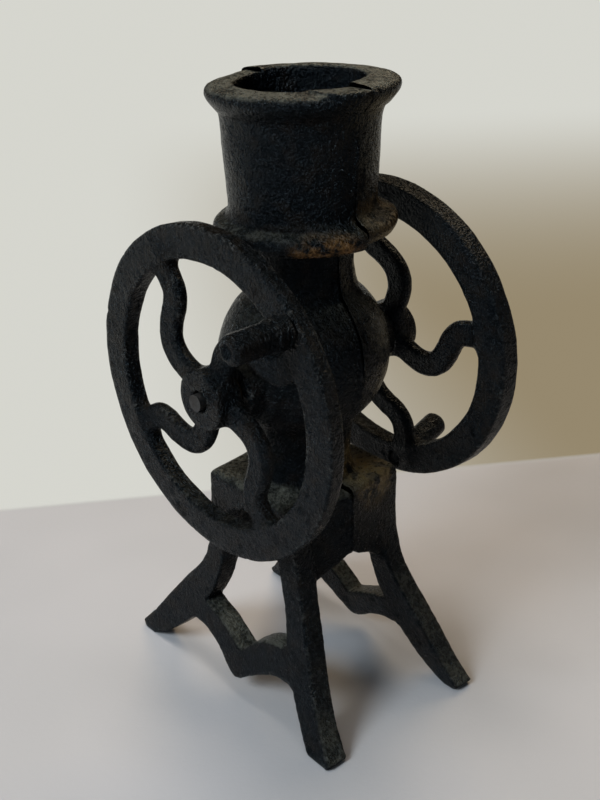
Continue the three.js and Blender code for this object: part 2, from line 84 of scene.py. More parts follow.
HUB_PIN_X, HUB_PIN_ANGLE, HUB_PIN_BORE = 20.6, 35.0, 0.9
RIGHT_LEAN, LEAN_PIVOT = 2.2, 20.7  # the right wheel sits crooked on its shaft, degrees
PEG_ORBIT, PEG_R, PEG_SHANK_R = 26.1, (2.6, 2.3), 1.2
PEG_LEN = {-1: 11.1, 1: 10.4}
PEG_LEAN = {-1: 0.0, 1: 17.0}
FIRST_SPOKE = {-1: -22.5, 1: 205.0}
PEG_ANGLE = {-1: 41.3, 1: -97.5}
CAST_EDGE, BLOCK_EDGE, RIM_EDGE, SPOKE_EDGE = 0.42, 1.0, 0.55, 1.2     # rounding radii
CAST_STEP, WHEEL_STEP, PEG_STEP = 0.34, 0.27, 0.16      # cell sizes of the skins
SIDE_NAME = {-1: "left", 1: "right"}


def rad(a):
    return math.radians(a)


# ------------------------------------------------------------------ distance fields
def spline(points, per=5):
    """A soft curve through 2-D points."""
    p = np.array(points, float)
    q = np.vstack([2 * p[0] - p[1], p, 2 * p[-1] - p[-2]])
    out = []
    t = np.arange(per)[:, None] / per
    for i in range(1, len(q) - 2):
        a, b, c, d = q[i - 1], q[i], q[i + 1], q[i + 2]
        out.append(0.5 * (2 * b + (c - a) * t + (2 * a - 5 * b + 4 * c - d) * t ** 2
                          + (3 * b - a - 3 * c + d) * t ** 3))
    return [tuple(v) for v in np.vstack(out + [p[-1:]])]


def polygon(points, u, v):
    """Signed distance to a closed 2-D outline, negative inside."""
    p = np.array(points, np.float32)
    u, v = np.broadcast_arrays(u, v)
    best = np.full(u.shape, 1e9, np.float32)
    sign = np.ones(u.shape, np.float32)
    for (ax, ay), (bx, by) in zip(p, np.roll(p, -1, 0)):
        ex, ey = bx - ax, by - ay
        size = ex * ex + ey * ey
        if size < 1e-12:
            continue
        wx, wy = u - ax, v - ay
        t = np.clip((wx * ex + wy * ey) / size, 0, 1)
        best = np.minimum(best, (wx - ex * t) ** 2 + (wy - ey * t) ** 2)
        crosses = (ay > v) != (by > v)
        if ey != 0:
            sign = np.where(crosses & (u < ax + ex * (v - ay) / ey), -sign, sign)
    return np.sqrt(best) * sign


def polyline(points, u, v):
    """Distance to an open 2-D line."""
    p = np.array(points, np.float32)
    best = np.full(np.broadcast(u, v).shape, 1e9, np.float32)
    for (ax, ay), (bx, by) in zip(p[:-1], p[1:]):
        ex, ey = bx - ax, by - ay
        t = np.clip(((u - ax) * ex + (v - ay) * ey) / (ex * ex + ey * ey + 1e-12), 0, 1)
        best = np.minimum(best, (u - ax - ex * t) ** 2 + (v - ay - ey * t) ** 2)
    return np.sqrt(best)


def soft_min(a, b, k):
    """The union of two fields with a fillet of about k."""
    h = np.clip(0.5 + 0.5 * (b - a) / k, 0, 1)
    return b + (a - b) * h - k * h * (1 - h)


def soft_max(a, b, k):
    return -soft_min(-a, -b, k)


def rounded(a, b, r):
    """Two distances at right angles joined as one solid with rounded edges."""
    a, b = a + r, b + r
    return np.minimum(np.maximum(a, b), 0) + np.hypot(np.maximum(a, 0), np.maximum(b, 0)) - r


class Turned:
    STEP = 0.1

    def __init__(self, outline):
        p = np.array(outline, float)
        self.z0 = p[:, 1].min() - 4
        self.r = np.arange(0, p[:, 0].max() + 5, self.STEP, dtype=np.float32)
        self.z = np.arange(self.z0, p[:, 1].max() + 4, self.STEP, dtype=np.float32)
        mirror = [(-x, y) for x, y in reversed([q for q in outline if q[0] > 0])]
        self.table = polygon(list(outline) + mirror, self.r[:, None], self.z[None, :])

    def __call__(self, r, z):
        r, z = np.broadcast_arrays(r, z)
        i = np.clip(r / self.STEP, 0, len(self.r) - 1.001)
        j = np.clip((z - self.z0) / self.STEP, 0, len(self.z) - 1.001)
        i0, j0 = i.astype(np.int32), j.astype(np.int32)
        fi, fj = (i - i0).astype(np.float32), (j - j0).astype(np.float32)
        t, w = self.table.ravel(), len(self.z)
        k = i0 * w + j0
        return ((t[k] * (1 - fj) + t[k + 1] * fj) * (1 - fi)
                + (t[k + w] * (1 - fj) + t[k + w + 1] * fj) * fi)


def grid(lo, hi, h):
    """The x, y and z of a box of cells of size h, ready to broadcast."""
    axes = [np.arange(a, b + h, h, dtype=np.float32) for a, b in zip(lo, hi)]
    return axes[0][:, None, None], axes[1][None, :, None], axes[2][None, None, :]


def turn(a, b, angle):
    """Turns the pair of coordinates (a, b) by an angle in degrees."""
    c, s = math.cos(rad(angle)), math.sin(rad(angle))
    return a * c + b * s, b * c - a * s


def to_axle(x, y, z):
    """World coordinates into the frame of the shaft."""
    x, y, z = x, y - AXLE_Y, z - AXLE_Z
    x, y = turn(x, y, AXLE_YAW)
    x, z = turn(x, z, AXLE_RISE)
    return x, y, z


def noise(p, size, seed):
    """Smooth value noise from -1 to 1 at points in millimetres."""
    table = np.random.RandomState(seed).uniform(-1, 1, (32, 32, 32)).astype(np.float32)
    q = p / size + 7.3 * seed
    i = np.floor(q).astype(np.int64)
    f = q - i
    f = f * f * (3 - 2 * f)
    out = 0
    for dx in (0, 1):
        for dy in (0, 1):
            for dz in (0, 1):
                w = (np.abs(1 - dx - f[:, 0]) * np.abs(1 - dy - f[:, 1])
                     * np.abs(1 - dz - f[:, 2]))
                out = out + w * table[(i[:, 0] + dx) % 32, (i[:, 1] + dy) % 32,
                                      (i[:, 2] + dz) % 32]
    return out


CORNERS = [(a, b, c) for a in (0, 1) for b in (0, 1) for c in (0, 1)]


def skin(field, axes, h):
    """Quads round the zero surface, with each point's outward normal and edge sharpness."""
    f = np.ascontiguousarray(field, dtype=np.float32)
    shape = np.array(f.shape)
    inside = f < 0
    count = np.zeros(shape - 1, np.uint8)
    for a, b, c in CORNERS:
        count += inside[a:shape[0] - 1 + a, b:shape[1] - 1 + b, c:shape[2] - 1 + c]
    active = np.flatnonzero((count > 0) & (count < 8))
    cell = np.stack(np.unravel_index(active, count.shape), 1)
    value = np.stack([f[cell[:, 0] + a, cell[:, 1] + b, cell[:, 2] + c]
                      for a, b, c in CORNERS], 1)
    total = np.zeros((len(cell), 3))
    hits = np.zeros(len(cell))
    for i, ca in enumerate(CORNERS):
        for j, cb in enumerate(CORNERS):
            step = np.subtract(cb, ca)
            if j > i and np.abs(step).sum() == 1:
                crosses = (value[:, i] < 0) != (value[:, j] < 0)
                t = value[:, i] / np.where(crosses, value[:, i] - value[:, j], 1)
                total += np.where(crosses[:, None], np.array(ca) + t[:, None] * step, 0)
                hits += crosses
    origin = np.array([a.ravel()[0] for a in axes])
    points = (cell + total / hits[:, None]) * h + origin
    slope = np.stack([sum(value[:, i] * (1 if c[k] else -1) for i, c in enumerate(CORNERS))
                      for k in range(3)], 1)
    normal = slope / np.maximum(np.linalg.norm(slope, axis=1, keepdims=True), 1e-6)
    reach = 3           # cells to each side, to see how fast the surface bends there
    around = np.zeros(len(cell))
    for k in range(3):
        for s in (-reach, reach):
            at = cell.copy()
            at[:, k] = np.clip(at[:, k] + s, 0, shape[k] - 1)
            around += f[at[:, 0], at[:, 1], at[:, 2]]
    sharp = (around - 6 * value[:, 0]) / (reach * h)
    number = np.full(count.size, -1, np.int64)
    number[active] = np.arange(len(active))
    number = number.reshape(count.shape)
    quads = []
    for a in range(3):
        b, c = (a + 1) % 3, (a + 2) % 3
        low = [slice(1, -1)] * 3
        high = [slice(1, -1)] * 3
        low[a], high[a] = slice(0, -1), slice(1, None)
        s0, s1 = inside[tuple(low)], inside[tuple(high)]
        at = np.stack(np.nonzero(s0 != s1), 1)
        outward = s0[tuple(at.T)]
        at[:, b] += 1
        at[:, c] += 1
        ring = []
        for db, dc in ((-1, -1), (0, -1), (0, 0), (-1, 0)):
            q = at.copy()
            q[:, b] += db
            q[:, c] += dc
            ring.append(number[q[:, 0], q[:, 1], q[:, 2]])
        quad = np.stack(ring, 1)
        quad[~outward] = quad[~outward][:, ::-1]
        quads.append(quad)
    return points, np.vstack(quads), normal, sharp


def cast_relief(points, normal, seed, amount=1.0):
    """Sand-cast unevenness: broad waves, lumps and grains, pushed along the normal."""
    d = (0.10 * noise(points, 6.5, seed) + 0.05 * noise(points, 2.4, seed + 1)
         + 0.034 * noise(points, 1.0, seed + 2))
    pits = noise(points, 1.7, seed + 3)
    d -= 0.16 * np.clip(pits - 0.6, 0, 1) * 2.5
    return points + normal * (d * amount)[:, None]


def seam_flash(points, normal, seed):
    """The ragged ridge that the mould leaves where the halves meet, outside only."""
    x, y, z = points.T
    outside = (np.clip(np.abs(y) - 7.5, 0, 1) * (np.abs(normal[:, 0]) < 0.8)
               * np.clip((106 - z) / 2, 0, 1) * (np.abs(z - 88.5) > 2.5))
    line = np.exp(-(x / 0.5) ** 2) * (0.30 + 0.14 * noise(points, 1.6, seed))
    long = noise(points * (1, 1, 0.22), 0.9, seed + 1)
    drip = (np.clip(1 - np.abs(x - 1.2) / 2.2, 0, 1) * (y < 0) * (z > 90) * (z < 107.5)
            * np.clip(long, 0, 1) * 0.5)
    return points + normal * ((line + drip) * outside)[:, None]


def make_piece(name, node, body, points, quads, normal, sharp, spare=0.0):
    """A smooth mesh piece in place of a frame node, kept inside that node's box."""
    lo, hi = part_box(node)
    points = np.clip(points * MM, np.array(lo) - (spare * MM, 0, 0),
                     np.array(hi) + (spare * MM, 0, 0))
    mesh = bpy.data.meshes.new(name)
    mesh.vertices.add(len(points))
    mesh.vertices.foreach_set("co", points.astype(np.float32).ravel())
    mesh.loops.add(quads.size)
    mesh.loops.foreach_set("vertex_index", quads.astype(np.int32).ravel())
    mesh.polygons.add(len(quads))
    mesh.polygons.foreach_set("loop_start", np.arange(0, quads.size, 4, dtype=np.int32))
    mesh.update(calc_edges=True)
    mesh.validate()
    mesh.shade_smooth()
    # edge sharpness drives the paler edge colour, which is partly wear and partly a painted
    # highlight
    for label, values in (("edge_sharpness", np.clip(sharp, -2, 2)), ("up", normal[:, 2])):
        mesh.attributes.new(label, "FLOAT", "POINT").data.foreach_set(
            "value", values.astype(np.float32))
    piece = bpy.data.objects.new(name, mesh)
    scene.collection.objects.link(piece)
    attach(piece, body)
    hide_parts(node)
    return piece


# ------------------------------------------------------------------ outlines
window = (spline([(-11, 14.8), (-9.6, 17), (-8.2, 20.5), (-7.4, 24.3), (-7.1, 28), (-6.8, 32),
                  (-5.5, 35.5), (-3, 37.4), (0, 38), (3, 37.4), (6, 35.3), (8.2, 32), (9.2, 29),
                  (10.3, 25.3), (11.4, 21.4), (12.4, 17.4)])
          + spline([(11.6, 16.2), (9, 15.8), (6.6, 15), (4, 13.4), (2, 11.6), (0.7, 10.3)])
          + spline([(-1, 11), (-3, 12), (-6, 13.3), (-9, 14.1)]))
leg_outline = (
    spline([(11, 41.5), (12.3, 37), (13.8, 31), (15.3, 25.5), (17.6, 19), (19.9, 13.5),
            (22.8, 7.7), (25.9, 3.0), (27.6, 1.0)])
    + [(27.0, 0), (22.0, 0)]
    + spline([(21.2, 0.6), (19.3, 3.3), (17.3, 6.6), (15.6, 9.7)])
    + spline([(14.4, 10.3), (11, 10), (8, 8.7), (4, 6.2), (1.5, 4.3)]) + [(0.2, 3.9)]
    + spline([(-1.3, 4.3), (-3.5, 5.8), (-6, 7.7), (-9.5, 9.3), (-13.4, 9.9)])
    + spline([(-14.8, 9.3), (-17, 7), (-20, 4), (-23.5, 1.3), (-25.3, 0.3)])
    + [(-26, 0), (-29, 0)]
    + spline([(-30.1, 1.1), (-26.6, 5.4), (-22.9, 10.7), (-18.2, 16.5), (-14.8, 20.2),
              (-12.8, 23.5), (-11.8, 27.5), (-11.2, 33), (-11, 41.5)]))
arch = [(-9.1, 5), (9.1, 5), (9.1, 24.6), (7.6, 26.2), (5.4, 27.4), (2.6, 28.5), (0, ARCH_PEAK),
        (-2.6, 28.5), (-5.4, 27.4), (-7.6, 26.2), (-9.1, 24.6)]
ball_arc = [(BALL_R * math.cos(rad(a)), BALL_Z + BALL_R * math.sin(rad(a)))
            for a in range(-51, 52, 3)]
body_of_revolution = Turned(
    [(0, 40.2), (9.4, 40.2), (9.4, 42.3), (8.9, 43.6), (8.5, 46), (8.6, 49.6), (8.95, 51.6)]
    + ball_arc + [(8.95, 78.8), (NECK_R, 81), (NECK_R, 87.6), (0, 87.6)])
hopper_outline = (
    [(0, 86), (NECK_R, 86), (13.4, 86.5)]
    + spline([(15.1, 87.2), (15.7, 88.5), (15.2, 89.8), (13.3, 90.6), (12.35, 91.7),
              (12.25, 93)])
    + spline([(12.6, 99.5), (12.95, 106.6), (13.5, 107.8), (14.4, 108.9), (15.05, 109.9),
              (15.18, 110.6), (14.95, 111.15)])
    + [(14.5, 111.45), (13.0, 111.7), (11.2, 111.88), (10.75, 111.8), (10.5, 111.5),
       (10.45, 110.8)]
    + spline([(10.4, 105), (10.2, 97), (9.9, 94.6), (7.2, 91.6)])
    + [(0, 90.4)])


def flared_lip(outline):
    """The same outline with the lip wider, for the right half."""
    return [(r * (1 + (LIP_FLARE - 1) * min(1, max(0, (z - 106) / 2))) if r > 11.4 else r, z)
            for r, z in outline]


hopper = {-1: Turned(hopper_outline), 1: Turned(flared_lip(hopper_outline))}
boss = Turned([(0, BOSS_START), (8.2, BOSS_START), (7.4, 13.4), (6.0, 14.6), (5.5, BOSS_END - 0.4),
               (5.1, BOSS_END), (0, BOSS_END)])


# ------------------------------------------------------------------ castings
def hopper_field(side, x, y, z):
    """The leaning cup with its lip and flange; z is in the half casting's own heights."""
    hx, hz = turn(x, z - TILT_Z, HOPPER_TILT)
    if side > 0:
        return hopper[side](np.hypot(hx / HOPPER_OVAL, y), hz + TILT_Z)
    hr = np.hypot(hx, y)
    # next to the front seam the left lip was made up level with the right
    made_up = (np.clip((x + LIP_MEND_X + 0.5 * np.sin(2.2 * z)) / 0.9, 0, 1)
               * np.clip(-y / 4, 0, 1) * np.clip((z - 105.5) / 2.5, 0, 1))
    hz = hz - HALF_STEP * made_up
    hr = hr / (1 + (LIP_FLARE - 1) * made_up)
    # next to the back seam it rises part of the way
    rise = np.clip(1 + x / 5, 0, 1) * np.clip(y / 4, 0, 1) * np.clip((z - 105) / 3, 0, 1)
    hz = hz - LIP_BACK_RISE * rise
    # the flange runs out narrower towards the left
    hr = hr * (1 + (1 / FLANGE_SHORT - 1) * np.clip(-x / 8, 0, 1)
               * np.clip((91 - z) / 0.8, 0, 1) * np.clip((hr - 11) / 2, 0, 1))
    cup = hopper[side](hr, hz + TILT_Z)
    for cx, cy, cz, cr in LIP_LUMPS:
        lump = np.sqrt((x - cx) ** 2 + (y - cy) ** 2 + (z - cz) ** 2) - cr
        cup = soft_min(cup, lump, 0.5)
    return cup


def block_field(side, x, y, z):
    """The square block under the ball, with the arch through its front and back walls."""
    # the right half is drawn as the left one, turned round
    xl, yl = -side * x[:, :, 0], -side * y[:, :, 0]
    plan = polygon([(3, -BLOCK_Y_SEAM), (-SEAM, -BLOCK_Y_SEAM),
                    (-BLOCK_X + 0.5, -BLOCK_Y_OUT), (-BLOCK_X, -BLOCK_Y_OUT + 0.3),
                    (-BLOCK_X, BLOCK_Y_OUT - 0.3), (-BLOCK_X + 0.5, BLOCK_Y_OUT),
                    (-SEAM, BLOCK_Y_SEAM), (3, BLOCK_Y_SEAM)], xl, yl)
    shoulder = 0.7 * np.clip(1 - np.abs(x) / 2.4, 0, 1) ** 2 if side < 0 else 0.0
    tall = np.maximum(z - (BLOCK_TOP[side] - shoulder), BLOCK_LOW - z)
    block = rounded(plan[:, :, None], tall, BLOCK_EDGE)
    return soft_max(block, -polygon(arch, x[:, 0], z[:, 0])[:, None, :], 0.8)


def leg_fields(side, x, y, z):
    """The leg frame, one outline in the (front, up) plane bent outwards, and its window."""
    front, up = side * y[0], z[0]
    drawn_at = up
    for _ in range(4):          # the height in the outline that sags to this height
        low = np.clip((drawn_at - 1) / 19, 0, 1)
        drawn_at = up + BRACE_SAG[side] * np.sin(np.pi * low)
    if side > 0:
        shrink = 1 - SHORT_REACH * np.maximum(0, 1 - up / 22)
        front = np.where(front < 0, front / shrink, front)
    hole = polygon(window, front, drawn_at)[None]
    outline = np.maximum(polygon(leg_outline, front, drawn_at)[None], -hole)
    outer = BLOCK_X + (FOOT_X - BLOCK_X) * np.maximum(0, 1 - z / FLARE_TOP) ** FLARE_POWER
    thick = np.abs(np.abs(x) - outer + LEG_T / 2) - LEG_T / 2
    return rounded(outline, thick, CAST_EDGE), hole


def cut_bores(side, solid, x, y, z):
    """The casting with its chamber, throat or burr seat, bushing bore and dowel holes cut."""
    xa, ya, za = to_axle(x, y, z)
    radial = np.hypot(ya, za)
    chamber = np.sqrt(x ** 2 + y ** 2 + (z - BALL_Z) ** 2) - CHAMBER_R
    if side < 0:
        solid = np.maximum(solid, -chamber)
        throat = np.maximum(np.hypot(x - THROAT_X, y) - THROAT_R, np.abs(z - 83.5) - 11.5)
        solid = soft_max(solid, -throat, 0.5)
    else:
        solid = np.maximum(solid, -np.maximum(chamber, WEB_X - x))
        solid = np.maximum(solid, -np.maximum(radial - RING_R - GAP, xa - WEB_X - 2))
        solid = np.maximum(solid, -np.maximum(radial - RING_FLANGE_R - GAP, xa - RING_SEAT_X))
        slot = np.maximum(np.maximum(DROP_X[0] - x, x - DROP_X[1]),
                          np.maximum(np.abs(y) - DROP_Y,
                                     np.maximum(DROP_Z[0] - z, z - DROP_Z[1])))
        solid = np.maximum(solid, -slot)
        for a in SCREW_ANGLES:
            seat = np.hypot(ya - SCREW_ORBIT * math.cos(rad(a)),
                            za - SCREW_ORBIT * math.sin(rad(a))) - SCREW_BORE
            solid = np.maximum(solid, -np.maximum(seat, np.abs(xa - 3) - 2))
    solid = np.maximum(solid, -np.maximum(radial - BUSH_R - GAP, BUSH_START - side * xa))
    for yy in (-DOWEL_Y, DOWEL_Y):
        dowel = np.maximum(np.hypot(y - yy, z - BALL_Z) - DOWEL_BORE,
                           np.abs(x) - DOWEL_REACH)
        solid = np.maximum(solid, -dowel)
    return solid


def casting_field(side, x, y, z):
    """Distance field of one half casting; side is -1 for the left half, 1 for the right."""
    ax = np.abs(x)
    own_z = z - HALF_STEP if side > 0 else z
    xa, ya, za = to_axle(x, y, z)
    top = soft_min(body_of_revolution(np.hypot(x, y), own_z),
                   hopper_field(side, x, y, own_z), 1.0)
    top = soft_min(top, boss(np.hypot(ya, za), side * xa), 1.3)
    legs, hole = leg_fields(side, x, y, z)
    block = soft_max(block_field(side, x, y, z), -np.maximum(hole, 6 - ax), 0.7)
    solid = soft_min(top, block, 0.9)
    inner, ceiling = BLOCK_X - BLOCK_WALL, BLOCK_TOP[side] - BLOCK_WALL
    hollow = np.maximum(np.maximum(ax - inner, np.abs(y) - HOLLOW_Y),
                        np.maximum(z - ceiling, 12 - z))
    solid = soft_max(solid, -hollow, 0.6)
    solid = soft_min(solid, legs, 0.9)
    for way in (-1, 1):
        lug = np.maximum(np.maximum(ax - 3.0, np.abs(way * y - 6.7) - 2.7),
                         np.maximum(33 - z, z - ceiling - 1))
        solid = soft_min(solid, lug, 0.4)
        rivet = np.maximum(np.hypot(y - way * RIVET_Y, z - RIVET_Z) - RIVET_BORE,
                           ax - RIVET_REACH)
        solid = np.maximum(solid, -rivet)
    return soft_max(cut_bores(side, solid, x, y, z), SEAM_SHOWN - ax, 0.12)


def build_casting(side):
    node = SIDE_NAME[side] + "_casting"
    lo = [-20.0, -31.2, -0.9] if side < 0 else [-0.5, -31.2, -0.9]
    hi = [0.5, 31.2, 114.0] if side < 0 else [20.0, 31.2, 114.0]
    axes = grid(lo, hi, CAST_STEP)
    points, quads, normal, sharp = skin(casting_field(side, *axes), axes, CAST_STEP)
    points = cast_relief(points, normal, 11 if side < 0 else 41)
    points = seam_flash(points, normal, 23)
    points[:, 0] = side * np.maximum(side * points[:, 0], SEAM_SHOWN)
    return make_piece("cast_half_" + SIDE_NAME[side], node, "frame",
                      points, quads, normal, sharp, SEAM - SEAM_SHOWN)


# ------------------------------------------------------------------ flywheels
# one spoke: (radius, degrees behind the start of the spoke)
spoke_line = [(3.2, 0), (8, 0), (10.5, 3), (12.6, 9), (14.1, 17), (15.4, 26), (16.5, 33),
              (18.3, 37.5), (20.5, 38), (24.6, 37)]


def wheel_matrix(side):
    """Wheel drawing (u, v, out) to the row frame, millimetres."""
    if side < 0:
        m = Matrix(((0, 0, -1, 0), (-1, 0, 0, 0), (0, 1, 0, 0), (0, 0, 0, 1)))
    else:
        m = Matrix(((0, 0, 1, 0), (1, 0, 0, 0), (0, 1, 0, 0), (0, 0, 0, 1)))
    m = Matrix.Translation((side * WHEEL_FACE, 0, 0)) @ m
    if side > 0:
        m = (Matrix.Translation((LEAN_PIVOT, 0, 0)) @ Matrix.Rotation(-rad(RIGHT_LEAN), 4, "Y")
             @ Matrix.Translation((-LEAN_PIVOT, 0, 0)) @ m)
    return m


axle_matrix = (Matrix.Translation((0, AXLE_Y, AXLE_Z)) @ Matrix.Rotation(rad(AXLE_YAW), 4, "Z")
               @ Matrix.Rotation(-rad(AXLE_RISE), 4, "Y"))


def carry(matrix, points, normal):
    """Points and normals moved by a matrix."""
    m = np.array(matrix)
    return points @ m[:3, :3].T + m[:3, 3], normal @ m[:3, :3].T


def wheel_field(side, u, v, w):
    """Distance field of a wheel in its own drawing, with w pointing out of its face."""
    r = np.hypot(u, v)
    lean = RIM_DRAFT * (0.5 - np.clip(-w / RIM_T, 0, 1))
    middle = (WHEEL_R + WHEEL_IN) / 2
    rim = rounded(np.abs(r - middle - lean + RIM_DRAFT / 2) - (WHEEL_R - WHEEL_IN) / 2,
                  np.maximum(w - RIM_OUT[side], -RIM_T - w), RIM_EDGE)
    flat = []
    for k in range(SPOKES):
        start = FIRST_SPOKE[side] + 360 / SPOKES * k
        line = spline([(q * math.cos(rad(start - a)), q * math.sin(rad(start - a)))
                       for q, a in spoke_line], 4)
        flat.append(polyline(line, u[:, :, 0], v[:, :, 0]))
    across = np.minimum.reduce(flat)[:, :, None]
    spokes = rounded(across - SPOKE_W / 2, np.abs(w - SPOKE_MIDDLE) - SPOKE_HALF_T, SPOKE_EDGE)
    hub = rounded(r - HUB_R + 0.06 * np.abs(w - 0.2), np.abs(w - (HUB_FACE + HUB_BACK) / 2
                  + WHEEL_FACE) - (HUB_FACE - HUB_BACK) / 2, RIM_EDGE)
    wheel = soft_min(soft_min(rim, spokes, 1.7), hub, 1.3)
    m = np.array(wheel_matrix(side))
    xa, ya, za = (m[i, 0] * u + m[i, 1] * v + m[i, 2] * w + m[i, 3] for i in range(3))
    wheel = np.maximum(wheel, SHAFT_R + GAP - np.hypot(ya, za))
    down = rad(HUB_PIN_ANGLE)
    along = -ya * math.sin(down) + za * math.cos(down)
    off = ya * math.cos(down) + za * math.sin(down)
    pin = np.maximum(np.hypot(xa - side * HUB_PIN_X, off) - HUB_PIN_BORE,
                     np.abs(along + 1.05) - 3.65)
    wheel = np.maximum(wheel, -pin)
    a = rad(PEG_ANGLE[side])
    socket = np.hypot(u - PEG_ORBIT * math.cos(a), v - PEG_ORBIT * math.sin(a))
    return np.maximum(wheel, PEG_SHANK_R + GAP - socket)


def build_wheel(side):
    axes = grid((-30, -30, -4.2), (30, 30, 2.6), WHEEL_STEP)
    points, quads, normal, sharp = skin(wheel_field(side, *axes), axes, WHEEL_STEP)
    points = cast_relief(points, normal, 71 if side < 0 else 91)
    points, normal = carry(axle_matrix @ wheel_matrix(side), points, normal)
    name = SIDE_NAME[side]
    return make_piece("wheel_cast_" + name, name + "_flywheel", "rotor",
                      points, quads, normal, sharp)


def build_peg(side):
    """A handle: tapered body, its root on the rim, the shank in it and a dimple at the tip."""
    length = PEG_LEN[side]
    r0, r1 = PEG_R
    shape = Turned(spline([(0.01, 0), (r0, 0), (r0 - 0.15, 2), (r1 + 0.1, length - 1.6),
                           (r1 - 0.25, length - 0.5), (r1 - 0.9, length),
                           (0.01, length + 0.1)], 6))
    u, v, w = axes = grid((-7, -7, -3.8), (7, 7, 12.2), PEG_STEP)
    vv, ww = turn(v, w, -PEG_LEAN[side])
    peg = shape(np.hypot(u, vv), ww)
    r = np.hypot(u, v)
    root = np.maximum(r - r0, np.abs(w - 1.0) - 2.0)
    peg = soft_max(soft_min(peg, root, 0.6), GAP + RIM_OUT[side] - w, 0.25)
    shank = np.maximum(r - PEG_SHANK_R, np.abs(w + (RIM_T - 0.1) / 2 - 0.5) - RIM_T / 2 - 0.45)
    peg = soft_min(peg, shank, 0.25)
    dimple = np.sqrt(u ** 2 + vv ** 2 + (ww - length - 0.95) ** 2) - 1.45
    peg = soft_max(peg, -dimple, 0.25)
    points, quads, normal, sharp = skin(peg, axes, PEG_STEP)
    points = cast_relief(points, normal, 131 if side < 0 else 151, 0.6)
    a = rad(PEG_ANGLE[side])
    points = points + np.array([PEG_ORBIT * math.cos(a), PEG_ORBIT * math.sin(a), 0])
    points, normal = carry(axle_matrix @ wheel_matrix(side), points, normal)
    name = SIDE_NAME[side]
    return make_piece("crank_peg_" + name, name + "_handle", "rotor",
                      points, quads, normal, sharp)


# ------------------------------------------------------------------ materials
class Shader:
    """A short way to write a node tree: every input is a number, a colour or a socket."""

    def __init__(self, name):
        self.material = bpy.data.materials.new(name)
        self.material.use_nodes = True
        self.tree = self.material.node_tree
        self.tree.nodes.clear()

    def add(self, kind, props=None, **inputs):
        node = self.tree.nodes.new(kind)
        for key, value in (props or {}).items():
            setattr(node, key, value)
        for key, value in inputs.items():
            key = key.replace("_", " ")
            socket = node.inputs[int(key[1:])] if key[0] == "i" and key[1:].isdigit() \
                else node.inputs[key]
            if isinstance(value, bpy.types.NodeSocket):
                self.tree.links.new(value, socket)
            else:
                socket.default_value = value
        return node

    def math(self, op, a, b=0.0, clamp=False):
        return self.add("ShaderNodeMath", {"operation": op, "use_clamp": clamp},
                        i0=a, i1=b).outputs[0]

    def span(self, value, low, high, to_low=0.0, to_high=1.0):
        """Value from low..high onto to_low..to_high, clamped and eased."""
        return self.add("ShaderNodeMapRange", {"interpolation_type": "SMOOTHSTEP"},
                        i0=value, i1=low, i2=high, i3=to_low, i4=to_high).outputs[0]

    def mix(self, factor, a, b):
        node = self.add("ShaderNodeMix", {"data_type": "RGBA"}, i0=factor)
        for socket, value in ((node.inputs[6], a), (node.inputs[7], b)):
            if isinstance(value, bpy.types.NodeSocket):
                self.tree.links.new(value, socket)
            else:
                socket.default_value = (*value, 1)
        return node.outputs[2]

    def noise(self, vector, size, detail=3.0, rough=0.55):
        """Fractal noise whose largest feature is about size millimetres."""
        return self.add("ShaderNodeTexNoise", Vector=vector, Scale=1 / (size * MM),
                        Detail=detail, Roughness=rough).outputs["Fac"]

    def attribute(self, name):
        return self.add("ShaderNodeAttribute", {"attribute_name": name}).outputs["Fac"]

    def finish(self, colour, rough, metallic, height, lift, **extra):
        bump = self.add("ShaderNodeBump", Strength=1.0, Distance=lift * MM, Height=height)
        surface = self.add("ShaderNodeBsdfPrincipled", Base_Color=colour, Roughness=rough,
                           Metallic=metallic, Normal=bump.outputs[0], **extra)
        out = self.add("ShaderNodeOutputMaterial")
        self.tree.links.new(surface.outputs[0], out.inputs[0])
        return self.material


def near(s, position, centre, reach):
    """1 at a point of the row frame, falling to 0 at reach millimetres from it."""
    d = s.add("ShaderNodeVectorMath", {"operation": "DISTANCE"}, i0=position,
              i1=tuple(c * MM for c in centre)).outputs["Value"]
    return s.span(d, reach * MM, reach * 0.25 * MM)


BLACK, SHEEN = (0.0006, 0.0009, 0.0013), (0.0024, 0.0032, 0.0042)
RUST_FILM = (0.0130, 0.0068, 0.0022)
# the edge colour is partly wear and partly a painted highlight; the fleck colour is partly dust
# and partly painted glints
DUST, EDGE_WEAR_AND_HIGHLIGHT, FLECK_AND_GLINT = (0.100, 0.096, 0.074), (0.060, 0.058, 0.052), (0.13, 0.13, 0.12)
IRON_BUMP = 0.55                    # depth of the bump that the grain draws, mm
SHELF_DUST = 0.35                   # share of the dust that stays on the narrow shelves


